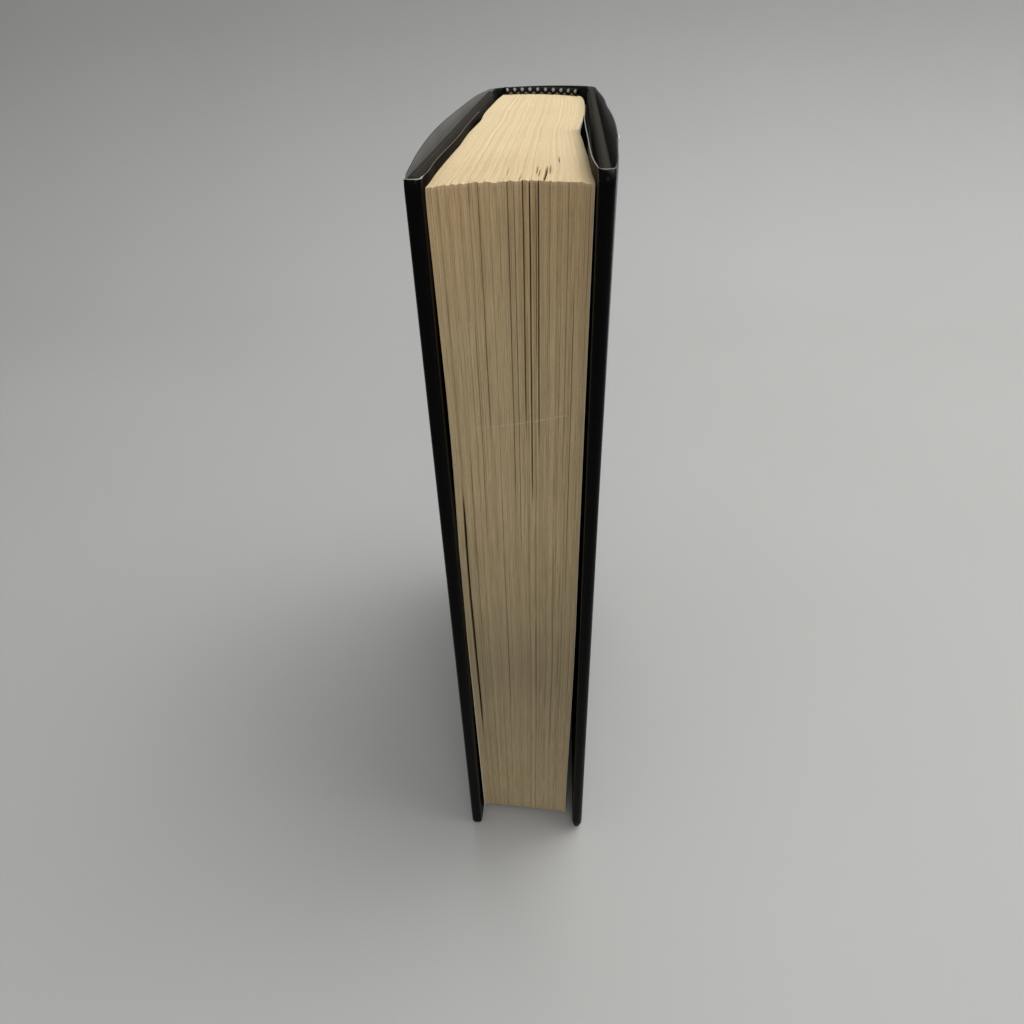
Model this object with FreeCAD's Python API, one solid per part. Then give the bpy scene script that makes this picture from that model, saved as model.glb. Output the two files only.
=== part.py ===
import FreeCAD, Part
import math
import os
from collections import namedtuple

# A case-bound hardback book in a plain paper jacket, standing on its tail.
# -X is the front cover, +X the back cover, -Y the fore-edge, +Y the spine, +Z the head.
# Every size is in millimetres.

# Case: boards, cloth and the joint that they turn at
cover_height = 241.0
cover_depth = 146.0
board_thickness = 2.4
board_setback = 4.0
cloth_thickness = 0.3
turn_in = 15.0
turn_gap = 0.15
front_splay = 0.75
back_splay = 0.65

# Block of pages and its endpapers
tail_square = 3.0
head_square = 3.0
fore_edge_square = 4.7
shoulder_half_width = 16.0
shoulder_setback = 2.8
spine_rise = 5.5
head_hollow = 4.5
tail_hollow = 0.4
front_swell = 1.7
back_swell = 1.2
tail_swell = -0.1
leaf_thickness = 0.15
leaf_clearance = 0.05
lining_thickness = 0.2
cover_clearance = 0.4
dent_length = 12.0

# Spine: gauze, paper lining, bands and the card inside the case
gauze_thickness = 0.3
gauze_flange = 28.0
gauze_margin = 1.0
kraft_thickness = 0.2
kraft_margin = 5.0
hollow = 0.6
inlay_thickness = 0.8
inlay_inset = 3.0
band_bead = 1.8
band_tape = 12.0
band_inset = 2.0

# Jacket: one folded sheet that stands off the case
jacket_shortfall = 1.0
jacket_thickness = 0.25
jacket_standoff = 0.3
jacket_spine_gap = 0.75
jacket_roundness = 2.4
fold_gap = 0.65
fold_radius = 0.6
front_flap = 95.0
back_flap = 76.0
front_flap_lift = 0.3
back_flap_lift = 2.0
front_bulge = 4.0
back_bulge = 3.5
tail_bulge = 0.5
front_jacket_base = 0.3
back_jacket_base = 1.2
flap_clearance = 0.35
axis_clearance = 0.3
curve_points = 9

# Values worked out from the sizes above
cover_thickness = lining_thickness + board_thickness + cloth_thickness
leaf_outside = leaf_clearance + leaf_thickness
joint_half_width = shoulder_half_width + leaf_outside + cover_clearance
spine_build_up = gauze_thickness + kraft_thickness + hollow + inlay_thickness + cloth_thickness
crown_reach = shoulder_setback + spine_rise + spine_build_up
jacket_spine_reach = crown_reach + jacket_spine_gap + jacket_thickness
fold_reach = cover_depth + fold_gap + jacket_thickness
joint_y = (fold_reach - jacket_spine_reach) / 2.0
block_head = cover_height - head_square
jacket_height = cover_height - jacket_shortfall
shoulder_y = joint_y + shoulder_setback
fore_edge_y = joint_y - (cover_depth - fore_edge_square)
spine_radius = (shoulder_half_width ** 2 + spine_rise ** 2) / (2.0 * spine_rise)
spine_half_angle = math.degrees(math.asin(shoulder_half_width / spine_radius))
spine_centre_y = shoulder_y + spine_rise - spine_radius
gauze_outside = spine_radius + gauze_thickness
kraft_outside = gauze_outside + kraft_thickness
inlay_inside = kraft_outside + hollow
inlay_outside = inlay_inside + inlay_thickness
panel_line = cover_thickness + jacket_standoff + jacket_thickness / 2.0
flap_line = -jacket_thickness / 2.0
gauze_base = max(turn_in, tail_square + band_tape) + gauze_margin
gauze_head = cover_height - max(turn_in, head_square + band_tape) - gauze_margin

Cover = namedtuple("Cover", "name side splay swell flap lift bulge base")
front = Cover("front", -1, front_splay, front_swell, front_flap, front_flap_lift,
              front_bulge, front_jacket_base)
back = Cover("back", 1, back_splay, back_swell, back_flap, back_flap_lift,
             back_bulge, back_jacket_base)


# Helpers: u runs from the joint to the fore-edge, v outward from the inside of a cover
def slab(u_start, u_end, v_start, v_end, z_start, z_end):
    corner = FreeCAD.Vector(u_start, v_start, z_start)
    return Part.makeBox(u_end - u_start, v_end - v_start, z_end - z_start, corner)


def hang(shape, cover):
    """Turn a shape from a cover's own (u, v, z) to its place on the book."""
    placed = shape.copy()
    placed.rotate(FreeCAD.Vector(0, 0, 0), FreeCAD.Vector(0, 0, 1), cover.splay - 90.0)
    placed.translate(FreeCAD.Vector(joint_half_width, joint_y, 0))
    if cover.side < 0:
        placed = placed.mirror(FreeCAD.Vector(0, 0, 0), FreeCAD.Vector(1, 0, 0))
    return placed


def curve(points, z):
    raised = [FreeCAD.Vector(x, y, z) for x, y in points]
    if len(raised) == 2:
        return Part.makeLine(raised[0], raised[1])
    spline = Part.BSplineCurve()
    spline.interpolate(raised)
    return spline.toShape()


def arc(start, middle, end, z):
    return Part.Arc(*[FreeCAD.Vector(x, y, z) for x, y in (start, middle, end)]).toShape()


def beside(points, distance):
    """Points of a path moved sideways, to the left of its direction for a positive distance."""
    moved = []
    for index, (x, y) in enumerate(points):
        before = points[max(index - 1, 0)]
        after = points[min(index + 1, len(points) - 1)]
        run = math.hypot(after[0] - before[0], after[1] - before[1])
        moved.append((x - (after[1] - before[1]) / run * distance,
                      y + (after[0] - before[0]) / run * distance))
    return moved


def side_edges(points, counts, z):
    """One edge for each stretch of a path; neighbouring stretches share a point."""
    edges = []
    first = 0
    for count in counts:
        last = first + count - 1
        edges.append(curve(points[first:last + 1], z))
        first = last
    return edges


def strip_outline(stretches, thickness, z):
    """Closed outline of a sheet of even thickness along a path given as joined stretches."""
    path = list(stretches[0])
    for stretch in stretches[1:]:
        path += stretch[1:]
    left = beside(path, thickness / 2.0)
    right = beside(path, -thickness / 2.0)[::-1]
    edges = side_edges(left, [len(stretch) for stretch in stretches], z)
    edges.append(curve([left[-1], right[0]], z))
    edges += side_edges(right, [len(stretch) for stretch in stretches[::-1]], z)
    edges.append(curve([right[-1], left[0]], z))
    return edges


def triangle(*corners):
    return Part.Face(Part.makePolygon(list(corners) + [corners[0]]))


def between(tail_edges, head_edges, ahead):
    """Solid between two outlines with as many edges; a sheet that twists is creased across.

    A crease runs from the head's corner that is further ahead to the tail's other corner.
    """
    faces = [Part.Face(Part.Wire(tail_edges)), Part.Face(Part.Wire(head_edges))]
    for low, high in zip(tail_edges, head_edges):
        if low.Curve.TypeId != "Part::GeomLine":
            faces.append(Part.makeRuledSurface(low, high))
            continue
        a, b = [vertex.Point for vertex in low.Vertexes]
        c, d = [vertex.Point for vertex in high.Vertexes]
        if (b - a).dot(ahead) > 0:
            faces += [triangle(a, b, d), triangle(a, d, c)]
        else:
            faces += [triangle(a, b, c), triangle(b, d, c)]
    shell = Part.makeShell(faces)
    shell.sewShape()
    solid = Part.makeSolid(shell)
    solid.fix(1e-6, 1e-6, 1e-6)
    return solid


def on_spine(radius, angle):
    turn = math.radians(angle)
    return radius * math.sin(turn), spine_centre_y + radius * math.cos(turn)


def spine_arc(radius, half_angle):
    """Points along the rounded spine, from the front cover's side to the back cover's."""
    steps = 2 * curve_points
    return [on_spine(radius, half_angle * (2.0 * step / steps - 1.0))
            for step in range(steps + 1)]


def spine_layer(inside, outside, half_angle, z_start, z_end):
    """A layer that follows the rounded spine."""
    inner = [on_spine(inside, turn * half_angle) for turn in (-1, 0, 1)]
    outer = [on_spine(outside, turn * half_angle) for turn in (-1, 0, 1)]
    low_inner = [FreeCAD.Vector(x, y, z_start) for x, y in inner]
    low_outer = [FreeCAD.Vector(x, y, z_start) for x, y in outer]
    edges = [Part.Arc(*low_inner).toShape(), Part.makeLine(low_inner[2], low_outer[2]),
             Part.Arc(*low_outer).toShape(), Part.makeLine(low_outer[0], low_inner[0])]
    face = Part.Face(Part.Wire(Part.__sortEdges__(edges)))
    return face.extrude(FreeCAD.Vector(0, 0, z_end - z_start))


# Covers
def turn_in_frame():
    """Cloth folded over the board's edges and pressed into its inside face."""
    inside = lining_thickness
    whole = slab(turn_gap, cover_depth, inside, inside + cloth_thickness, 0, cover_height)
    window = slab(0, cover_depth - turn_in, 0, cover_thickness,
                  turn_in, cover_height - turn_in)
    return whole.cut(window)


def cover_cloth():
    """Cloth over one cover, from the middle of the joint round the edges to the turn-ins."""
    start = board_setback - cloth_thickness
    outer = slab(start, cover_depth, lining_thickness, cover_thickness, 0, cover_height)
    room = slab(board_setback, cover_depth - cloth_thickness, 0,
                cover_thickness - cloth_thickness, cloth_thickness,
                cover_height - cloth_thickness)
    groove_floor = lining_thickness + gauze_thickness
    groove = slab(turn_gap, board_setback, groove_floor, groove_floor + cloth_thickness,
                  0, cover_height)
    passage = slab(0, board_setback, 0, groove_floor, turn_in, cover_height - turn_in)
    return outer.cut(room).fuse(groove).fuse(turn_in_frame()).cut(passage).removeSplitter()


def gauze_wing():
    """Gauze flange glued inside a board."""
    return slab(turn_gap, gauze_flange, lining_thickness,
                lining_thickness + gauze_thickness, gauze_base, gauze_head)


def board():
    """Grey board inside the cloth, with the turn-ins and the gauze pressed into it."""
    body = slab(board_setback, cover_depth - cloth_thickness, lining_thickness,
                cover_thickness - cloth_thickness, cloth_thickness,
                cover_height - cloth_thickness)
    return body.cut(turn_in_frame()).cut(gauze_wing())


def pastedown():
    """Half of the endpaper, glued inside a board."""
    return slab(turn_gap, cover_depth - fore_edge_square, 0, lining_thickness,
                tail_square, block_head)


def jacket_path(cover, bulge, lift):
    """Panel, fold and flap of the jacket along one cover, in the cover's u and v."""
    fold_u = cover_depth + fold_gap + jacket_thickness / 2.0
    panel_end = fold_u - fold_radius
    panel = []
    for step in range(curve_points + 1):
        u = turn_gap + (panel_end - turn_gap) * step / curve_points
        swing = math.sin(math.pi * (u - turn_gap) / (panel_end - turn_gap))
        panel.append((u, panel_line + bulge * swing))
    fold = [panel[-1]]
    for step in range(1, 5):
        turn = math.radians(22.5 * step)
        fold.append((panel_end + fold_radius * math.sin(turn),
                     panel_line - fold_radius * (1.0 - math.cos(turn))))
    inner_fold = [(fold_u, flap_line + fold_radius)]
    for step in range(1, 5):
        turn = math.radians(22.5 * step)
        inner_fold.append((panel_end + fold_radius * math.cos(turn),
                           flap_line + fold_radius * (1.0 - math.sin(turn))))
    face = [fold[-1], inner_fold[0]]
    flap = [inner_fold[-1], (cover_depth - cover.flap, flap_line - lift)]
    return [panel, fold, face, inner_fold, flap]


def jacket_side(cover):
    """Jacket over one cover: it bows away from the board towards the head."""
    low = strip_outline(jacket_path(cover, tail_bulge, 0.0), jacket_thickness, cover.base)
    high = strip_outline(jacket_path(cover, cover.bulge, cover.lift), jacket_thickness,
                         cover.base + jacket_height)
    return between(low, high, FreeCAD.Vector(1, 0, 0))


# Block of pages
def inner_face_x(cover, y):
    """Distance of a cover's inside face from the middle plane, at a place along the block."""
    return joint_half_width + (joint_y - y) * math.sin(math.radians(cover.splay))


def block_side(cover, swell, lift, extra):
    """Side of the block from the shoulder to the fore-edge, pressed in by the flap's end."""
    flap_end_y = joint_y - (cover_depth - cover.flap)
    behind_y = flap_end_y + dent_length
    run = shoulder_y - fore_edge_y
    flap_room = jacket_thickness + lift + flap_clearance + leaf_outside
    at_end = shoulder_half_width + swell * (shoulder_y - flap_end_y) / run
    pressed = min(at_end, inner_face_x(cover, flap_end_y) - flap_room)
    behind = shoulder_half_width + swell * (shoulder_y - behind_y) / run
    corner = shoulder_half_width + swell
    points = [(shoulder_half_width, shoulder_y), (behind, behind_y),
              (pressed, flap_end_y), (corner, fore_edge_y)]
    return [(cover.side * (x + extra), y) for x, y in points]


def sides_at(level):
    """Both sides of the block, at its tail (level 0) or at its head (level 1)."""
    sides = []
    for cover in (front, back):
        swell = cover.swell if level else tail_swell
        sides.append((cover, swell, cover.lift * level))
    return sides


def block_outline(level):
    z = block_head if level else tail_square
    fore_edge_hollow = head_hollow if level else tail_hollow
    left, right = [block_side(cover, swell, lift, 0.0) for cover, swell, lift in sides_at(level)]
    middle_x = (left[-1][0] + right[-1][0]) / 2.0
    edges = [curve(pair, z) for pair in zip(left, left[1:])]
    edges.append(arc(left[-1], (middle_x, fore_edge_y + fore_edge_hollow), right[-1], z))
    edges += [curve(pair, z) for pair in zip(right[::-1], right[-2::-1])]
    edges.append(arc(right[0], (0.0, shoulder_y + spine_rise), left[0], z))
    return edges


def pages():
    return between(block_outline(0), block_outline(1), FreeCAD.Vector(0, -1, 0))


def flyleaf_outline(cover, swell, lift, z):
    """Free leaf along the block's side, with its fold turned back to the joint."""
    inner = block_side(cover, swell, lift, leaf_clearance)
    outer = block_side(cover, swell, lift, leaf_outside)
    fold_inside = cover.side * joint_half_width
    fold_outside = cover.side * (joint_half_width + lining_thickness)
    start_y = joint_y + turn_gap
    neck_y = shoulder_y - 4.0 * leaf_thickness
    points = inner + outer[::-1][:-1]
    points += [(cover.side * (shoulder_half_width + leaf_outside), neck_y),
               (fold_inside, neck_y), (fold_inside, start_y), (fold_outside, start_y),
               (fold_outside, shoulder_y)]
    return [curve(pair, z) for pair in zip(points, points[1:] + points[:1])]


def flyleaf(cover):
    low = flyleaf_outline(cover, tail_swell, 0.0, tail_square)
    high = flyleaf_outline(cover, cover.swell, cover.lift, block_head)
    return between(low, high, FreeCAD.Vector(0, -1, 0))


# Spine
def joint_run(offset, radius, half_angle):
    """Path from one joint over the spine to the other joint, at a layer of the spine."""
    x = joint_half_width + offset
    arc = spine_arc(radius, half_angle)
    return [[(-x, joint_y + turn_gap), (-x, arc[0][1])], [(-x, arc[0][1])] + arc[1:-1] +
            [(x, arc[-1][1])], [(x, arc[-1][1]), (x, joint_y + turn_gap)]]


def layer_angle(offset, radius):
    return math.degrees(math.asin((joint_half_width + offset) / radius))


def spine_gauze():
    """Gauze glued over the block's back, with short runs into both joints."""
    layer = spine_layer(spine_radius, gauze_outside, spine_half_angle, gauze_base, gauze_head)
    inside = joint_half_width + lining_thickness
    foot_y = joint_y + turn_gap
    parts = [layer]
    inner_end = on_spine(spine_radius, spine_half_angle)
    outer_end = on_spine(gauze_outside, spine_half_angle)
    for side in (-1, 1):
        points = [(inside, foot_y), (inside + gauze_thickness, foot_y),
                  (inside + gauze_thickness, outer_end[1]), outer_end, inner_end,
                  (inside, inner_end[1])]
        corners = [FreeCAD.Vector(side * x, y, gauze_base) for x, y in points]
        face = Part.Face(Part.makePolygon(corners + corners[:1]))
        parts.append(face.extrude(FreeCAD.Vector(0, 0, gauze_head - gauze_base)))
    return parts[0].fuse(parts[1:]).removeSplitter()


def kraft_lining():
    return spine_layer(gauze_outside, kraft_outside, spine_half_angle,
                       tail_square + kraft_margin, block_head - kraft_margin)


def spine_inlay():
    inset = math.degrees(inlay_inset / inlay_outside)
    half_angle = layer_angle(0.0, inlay_outside) - inset
    return spine_layer(inlay_inside, inlay_outside, half_angle,
                       cloth_thickness, cover_height - cloth_thickness)


def spine_cloth():
    """Cloth over the spine, from joint to joint, turned in at the head and the tail."""
    offset = lining_thickness + gauze_thickness + cloth_thickness / 2.0
    radius = inlay_outside + cloth_thickness / 2.0
    path = joint_run(offset, radius, layer_angle(offset, radius))
    low = strip_outline(path, cloth_thickness, 0.0)
    high = strip_outline(path, cloth_thickness, cover_height)
    shape = between(low, high, FreeCAD.Vector(0, -1, 0))
    inset = math.degrees(inlay_inset / inlay_outside)
    half_angle = layer_angle(0.0, inlay_outside) - inset
    lap_inside = inlay_inside - cloth_thickness
    for base, top, cap in ((0.0, turn_in, 0.0),
                           (cover_height - turn_in, cover_height,
                            cover_height - cloth_thickness)):
        lap = spine_layer(lap_inside, inlay_inside, half_angle, base, top)
        edge = spine_layer(lap_inside, inlay_outside + cloth_thickness / 2.0, half_angle,
                           cap, cap + cloth_thickness)
        shape = shape.fuse(lap).fuse(edge)
    return shape.removeSplitter()


def end_band(at_head):
    """Woven band glued over the end of the block's back, with its bead on the edge."""
    radius = band_bead / 2.0
    bead_z = block_head + radius if at_head else tail_square - radius
    inset = math.degrees(band_inset / spine_radius)
    half_angle = spine_half_angle - inset
    bead_radius = spine_radius - radius / 2.0
    start = on_spine(bead_radius, -half_angle)
    along = FreeCAD.Vector(math.cos(math.radians(half_angle)),
                           math.sin(math.radians(half_angle)), 0)
    ring = Part.Wire(Part.makeCircle(radius, FreeCAD.Vector(start[0], start[1], bead_z), along))
    bead = Part.Face(ring).revolve(FreeCAD.Vector(0, spine_centre_y, 0),
                                   FreeCAD.Vector(0, 0, 1), -2.0 * half_angle)
    if at_head:
        tape = spine_layer(spine_radius, gauze_outside, half_angle,
                           block_head - band_tape, bead_z)
    else:
        tape = spine_layer(spine_radius, gauze_outside, half_angle,
                           bead_z, tail_square + band_tape)
    return bead.fuse(tape).removeSplitter()


def jacket_spine():
    """Jacket over the spine, rounded from one joint to the other."""
    half_width = joint_half_width + panel_line
    reach = jacket_spine_reach - jacket_thickness / 2.0
    power = 2.0 / jacket_roundness
    path = []
    steps = 4 * curve_points
    for step in range(steps + 1):
        turn = math.pi * step / steps
        across = math.copysign(abs(math.cos(turn)) ** power, -math.cos(turn))
        path.append((half_width * across, joint_y + reach * math.sin(turn) ** power))
    path[0] = (-half_width, joint_y + turn_gap)
    path[-1] = (half_width, joint_y + turn_gap)
    base = (front_jacket_base + back_jacket_base) / 2.0
    low = strip_outline([path], jacket_thickness, base)
    high = strip_outline([path], jacket_thickness, base + jacket_height)
    return between(low, high, FreeCAD.Vector(0, -1, 0))


def all_nodes():
    nodes = {"pages": pages(), "headband": end_band(True), "tailband": end_band(False),
             "spine_gauze": spine_gauze(), "spine_kraft_lining": kraft_lining(),
             "spine_inlay": spine_inlay(), "cloth_spine": spine_cloth(),
             "jacket_spine": jacket_spine()}
    for cover in (front, back):
        nodes[cover.name + "_flyleaf"] = flyleaf(cover)
        nodes[cover.name + "_board"] = hang(board(), cover)
        nodes[cover.name + "_cloth"] = hang(cover_cloth(), cover)
        nodes[cover.name + "_pastedown"] = hang(pastedown(), cover)
        nodes[cover.name + "_gauze_flange"] = hang(gauze_wing(), cover)
        nodes[cover.name + "_jacket"] = hang(jacket_side(cover), cover)
    return nodes


os.makedirs("parts", exist_ok=True)
for name, shape in all_nodes().items():
    shape.exportStep("parts/" + name + ".step")
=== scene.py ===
import math

import bmesh
import bpy
import numpy as np
from mathutils import Matrix, Vector


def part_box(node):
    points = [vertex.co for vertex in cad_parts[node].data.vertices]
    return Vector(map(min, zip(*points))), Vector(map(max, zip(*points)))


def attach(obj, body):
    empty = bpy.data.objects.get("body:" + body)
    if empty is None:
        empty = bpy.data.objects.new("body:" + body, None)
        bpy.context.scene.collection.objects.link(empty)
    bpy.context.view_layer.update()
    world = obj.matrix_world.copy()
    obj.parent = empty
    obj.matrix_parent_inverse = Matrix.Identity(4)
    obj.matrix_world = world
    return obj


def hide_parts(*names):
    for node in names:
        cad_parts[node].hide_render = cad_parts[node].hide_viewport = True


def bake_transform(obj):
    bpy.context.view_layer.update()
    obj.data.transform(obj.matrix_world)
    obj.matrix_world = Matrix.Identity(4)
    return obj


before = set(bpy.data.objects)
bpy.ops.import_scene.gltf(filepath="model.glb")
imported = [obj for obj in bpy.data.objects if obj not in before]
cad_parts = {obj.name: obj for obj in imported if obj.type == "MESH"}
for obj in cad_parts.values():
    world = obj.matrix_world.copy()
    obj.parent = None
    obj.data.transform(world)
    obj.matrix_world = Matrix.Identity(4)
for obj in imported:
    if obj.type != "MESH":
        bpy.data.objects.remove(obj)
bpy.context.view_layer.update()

# Looks of a hardback book in a plain black jacket; lengths are in millimetres until a mesh is made
MM = 0.001
FRONT = -1
BACK = 1
BODY = {FRONT: "front_cover", BACK: "back_cover"}
SIDE = {FRONT: "front", BACK: "back"}

# The case and the block, read from the frame where a node's box gives them
COVER_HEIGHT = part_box("back_cloth")[1][2] / MM
BLOCK_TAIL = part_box("pages")[0][2] / MM
BLOCK_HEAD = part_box("pages")[1][2] / MM
FORE_EDGE_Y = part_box("back_flyleaf")[0][1] / MM
INNER_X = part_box("back_pastedown")[0][0] / MM
COVER_DEPTH = 146.0
JOINT_Y = 67.7
BOARD_SETBACK = 4.0
SHOULDER_Y = JOINT_Y + 2.8
SHOULDER_X = 16.0
SPINE_RISE = 5.5
SPINE_RADIUS = (SHOULDER_X ** 2 + SPINE_RISE ** 2) / (2.0 * SPINE_RISE)
SPINE_CENTRE_Y = SHOULDER_Y + SPINE_RISE - SPINE_RADIUS
LINING = 0.2
GAUZE = 0.3
CLOTH = 0.3
COVER_THICKNESS = 2.9
TURN_IN = 15.0
COVER_ROUNDING = 1.32
BOARD_ROUNDING = 0.95
SKIN_GAP = 0.05
INLAY = 0.8
INLAY_GAP = 1.1
INLAY_INSIDE = SPINE_RADIUS + INLAY_GAP
GAUZE_FLANGE = 28.0
GAUZE_ENDS = (16.0, 225.0)
GAUZE_SLACK = 1.05
FLYLEAF = 0.15
LEAF_GAP = 0.05
FORE_SQUARE = 4.7
GUTTER_SINK = 2.8
# Angle of each cover, in degrees, and where the endpaper sheets end in the gutter
SPLAY = {FRONT: 0.75, BACK: 0.65}
BLEND_END_Y = JOINT_Y + 1.9

# The jacket
JACKET = 0.25
PANEL_GAP = 0.3
EDGE_GAP = 0.65
PANEL_LINE = COVER_THICKNESS + PANEL_GAP + JACKET / 2.0
FLAP_LINE = -JACKET / 2.0
FOLD_U = COVER_DEPTH + EDGE_GAP + JACKET / 2.0
FOLD_RADIUS = {FRONT: 1.05, BACK: 1.7}
CRUSH = {FRONT: 0.6, BACK: 1.9}
CRUSH_HEIGHT = 2.4
JACKET_HEIGHT = 240.0
JACKET_BASE = {FRONT: 0.45, BACK: 1.6}
SPINE_BASE = 0.75
SPINE_REACH = 11.5 - JACKET / 2.0
SPINE_POWER = 2.0 / 2.4
FLAP = {FRONT: 94.0, BACK: 74.0}
FLAP_LIFT = {FRONT: 0.05, BACK: 2.95}
FLAP_POINTS = 60
# Share of the panel's bow that is left at the tail, and how late it grows towards the head
TAIL_BOW = 0.125
BOW_GROWTH = 1.4
CHIP_U = 107.0
CHIP_HALF = 4.5
CHIP_TURN_OUT = 0.45
CHIP_TURN_HALF = 5.0
CHIP_TURN_HEIGHT = 1.5
# Rubbed rims, from black 0 to bare white 1, on the panels, the flaps and the folds
PANEL_BARE = 0.035
FLAP_BARE = {FRONT: 0.12, BACK: 0.34}
FOLD_BARE = {FRONT: 0.75, BACK: 0.27}
# Depth of the rubbed rim: everywhere, where it is ragged, at the folds and in the chip
RIM_WEAR = 0.04
RAGGED_WEAR = 0.15
FOLD_WEAR = 0.24
CHIP_WEAR = 1.2
FOLD_WEAR_Y = -77.5
FOLD_WEAR_HALF = 2.2
# A flap's point, counted from its end, from which its face keeps a trace of shine
SATIN_FROM = {FRONT: -20, BACK: 30}
# How far the jacket's head stands off the board: (distance from the joint, height)
BULGE = {
    FRONT: ((0, 0.0), (3, 0.7), (8, 1.6), (19, 2.6), (39, 3.6), (59, 4.2), (79, 4.4),
            (100, 3.8), (120, 2.5), (134, 1.2), (146, 0.0)),
    BACK: ((0, 0.0), (11, 0.4), (26, 1.1), (40, 1.6), (55, 1.8), (75, 2.5), (92, 2.6),
           (110, 2.1), (128, 1.3), (138, 0.8), (146, 0.0)),
}
# How far each flap's head leans in above the pages, or out if negative: (distance, lean)
HEAD_LEAN = {
    FRONT: ((52, 0.05), (61, 0.05), (71, 0.0), (82, 0.1), (92, 0.3), (104, 0.3), (110, 0.2),
            (118, 0.0), (131, 0.0), (139, 0.3), (145, 0.0)),
    BACK: ((72, -0.9), (82, -0.65), (93, -0.3), (109, 0.1), (121, 0.45), (134, 0.6), (141, 0.3),
           (145, 0.0)),
}
LEAN_HEIGHT = 6.0

# Headband and tailband, with the place and size of a stitch's light dot and wedge on the bead
BEAD = {"headband": 1.12, "tailband": 0.9}
BAND_INSET = 2.4
BAND_WALL = 0.12
PITCH = 3.05
THREAD = 0.25
TAPE_DROP = (1.2, 11.5)
TAPE_OUT = 0.58
DOT_HALF_WIDTH = 0.20
DOT_TURN = 2.72
DOT_HALF_TURN = 0.45
WEDGE_TURN = 3.35
WEDGE_SLOPE = 0.45

# Looks along the block's height and over its fore-edge: (where it starts, where it is full)
# Painted shade: the fore-edge is darker over its lower middle, lighter towards the head and the tail
SHADE_BAND_BELOW = (-30.0, 80.0)
SHADE_BAND_ABOVE = (150.0, 90.0)
WARM_HEAD = (190.0, 232.0)
# Painted shade on the pastedowns: nearly black near the head, weaker near the tail
SHADED_HEAD = (222.5, 232.5)
DARKENED_TAIL = (18.5, 8.5)
SCRATCH_HALF = 13.5
SCRATCH_HEIGHT = 178.3
SCRATCH_RISE = 5.0

# The block of pages
SWELL = {FRONT: 1.7, BACK: 1.2}
TAIL_SWELL = -0.1
HEAD_HOLLOW = 4.6
TAIL_HOLLOW = 0.4
# How far each side of the head wanders from straight, pressed in at the flaps' ends: (y, out)
WANDER = {
    FRONT: ((-79, 0.6), (-73, 0.6), (-56, 0.6), (-47, 0.55), (-39, 0.33), (-26, 0.0), (-19, 0.15),
            (-10, 0.2), (2, -0.2), (13, -0.6), (25, -0.1), (44, -0.5), (64, -1.35), (71, -2.0)),
    BACK: ((-79, 0.3), (-57, -0.3), (-37, -1.25), (-20, -2.0), (-8, -2.6), (-1, -2.6), (6, -2.0),
           (13, -1.4), (22, -0.9), (37, -0.5), (54, -0.45), (66, -0.8), (71, -1.5)),
}
# The leaves lean: their fore-edge shifts sideways at the tail, and the front half nods forward
SIDE_LEAN = {FRONT: 1.25, BACK: -1.0}
LEAN_TOP = {FRONT: 0.80, BACK: 0.45}
LEAN_FADE = {FRONT: 0.35, BACK: 0.45}
TAIL_SETBACK = 1.9
HEAD_ADVANCE = 1.4
BACK_RISE = 1.0
LEAVES = 430
FORE_ZONE = 0.04
HEAD_ZONE = 0.03

# The camera, found from the photograph, in the book's own frame
CAMERA_PLACE = (13.4, -235.05, 272.0)
CAMERA_YAW = -5.525
CAMERA_PITCH = 36.35
CAMERA_ROLL = 1.95
CAMERA_FOCUS = 716.6
FRAME_WIDTH = 1024
SENSOR = 36.0


def smooth(t):
    """Eased step from 0 to 1."""
    t = np.clip(t, 0.0, 1.0)
    return t * t * (3.0 - 2.0 * t)


def through(points, x):
    """Smooth curve through a few given points, level beyond the first and the last."""
    xs = np.array([p[0] for p in points], float)
    ys = np.array([p[1] for p in points], float)
    slopes = np.gradient(ys, xs)
    x = np.clip(x, xs[0], xs[-1])
    k = np.clip(np.searchsorted(xs, x) - 1, 0, len(xs) - 2)
    step = xs[k + 1] - xs[k]
    t = (x - xs[k]) / step
    return (ys[k] * (1 + 2 * t) * (1 - t) ** 2 + ys[k + 1] * t * t * (3 - 2 * t)
            + slopes[k] * step * t * (1 - t) ** 2 - slopes[k + 1] * step * t * t * (1 - t))


def wander(rng, count, smoothing):
    """Random noise of about unit height, smoothed over some samples."""
    raw = rng.normal(size=count + 8 * smoothing)
    reach = np.arange(-3 * smoothing, 3 * smoothing + 1)
    weights = np.exp(-0.5 * (reach / smoothing) ** 2)
    calm = np.convolve(raw, weights / weights.sum(), mode="same")
    calm = calm[4 * smoothing:4 * smoothing + count]
    return calm / (calm.std() + 1e-9)


def on_cover(side, u, v):
    """Plan of a point of a cover: u runs from its joint to the fore-edge, v out through its board."""
    turn = math.radians(SPLAY[side])
    x = INNER_X + v * math.cos(turn) + u * math.sin(turn)
    y = JOINT_Y - u * math.cos(turn) + v * math.sin(turn)
    return side * x, y


# Meshes
def link_mesh(name, mesh):
    """Smooth object of a mesh, put into the scene."""
    mesh.polygons.foreach_set("use_smooth", np.ones(len(mesh.polygons), bool))
    piece = bpy.data.objects.new(name, mesh)
    bpy.context.scene.collection.objects.link(piece)
    return piece


def make_object(name, points, faces, materials, face_materials=None, attributes=None):
    """Object from points in millimetres, with shader values at its points."""
    mesh = bpy.data.meshes.new(name)
    mesh.from_pydata((np.asarray(points) * MM).tolist(), [], faces)
    for material in materials:
        mesh.materials.append(material)
    if face_materials is not None:
        mesh.polygons.foreach_set("material_index", np.asarray(face_materials, np.int32))
    for key, values in (attributes or {}).items():
        layer = mesh.attributes.new(key, "FLOAT", "POINT")
        layer.data.foreach_set("value", np.asarray(values, np.float32))
    mesh.update()
    mesh.validate()
    return link_mesh(name, mesh)


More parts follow.
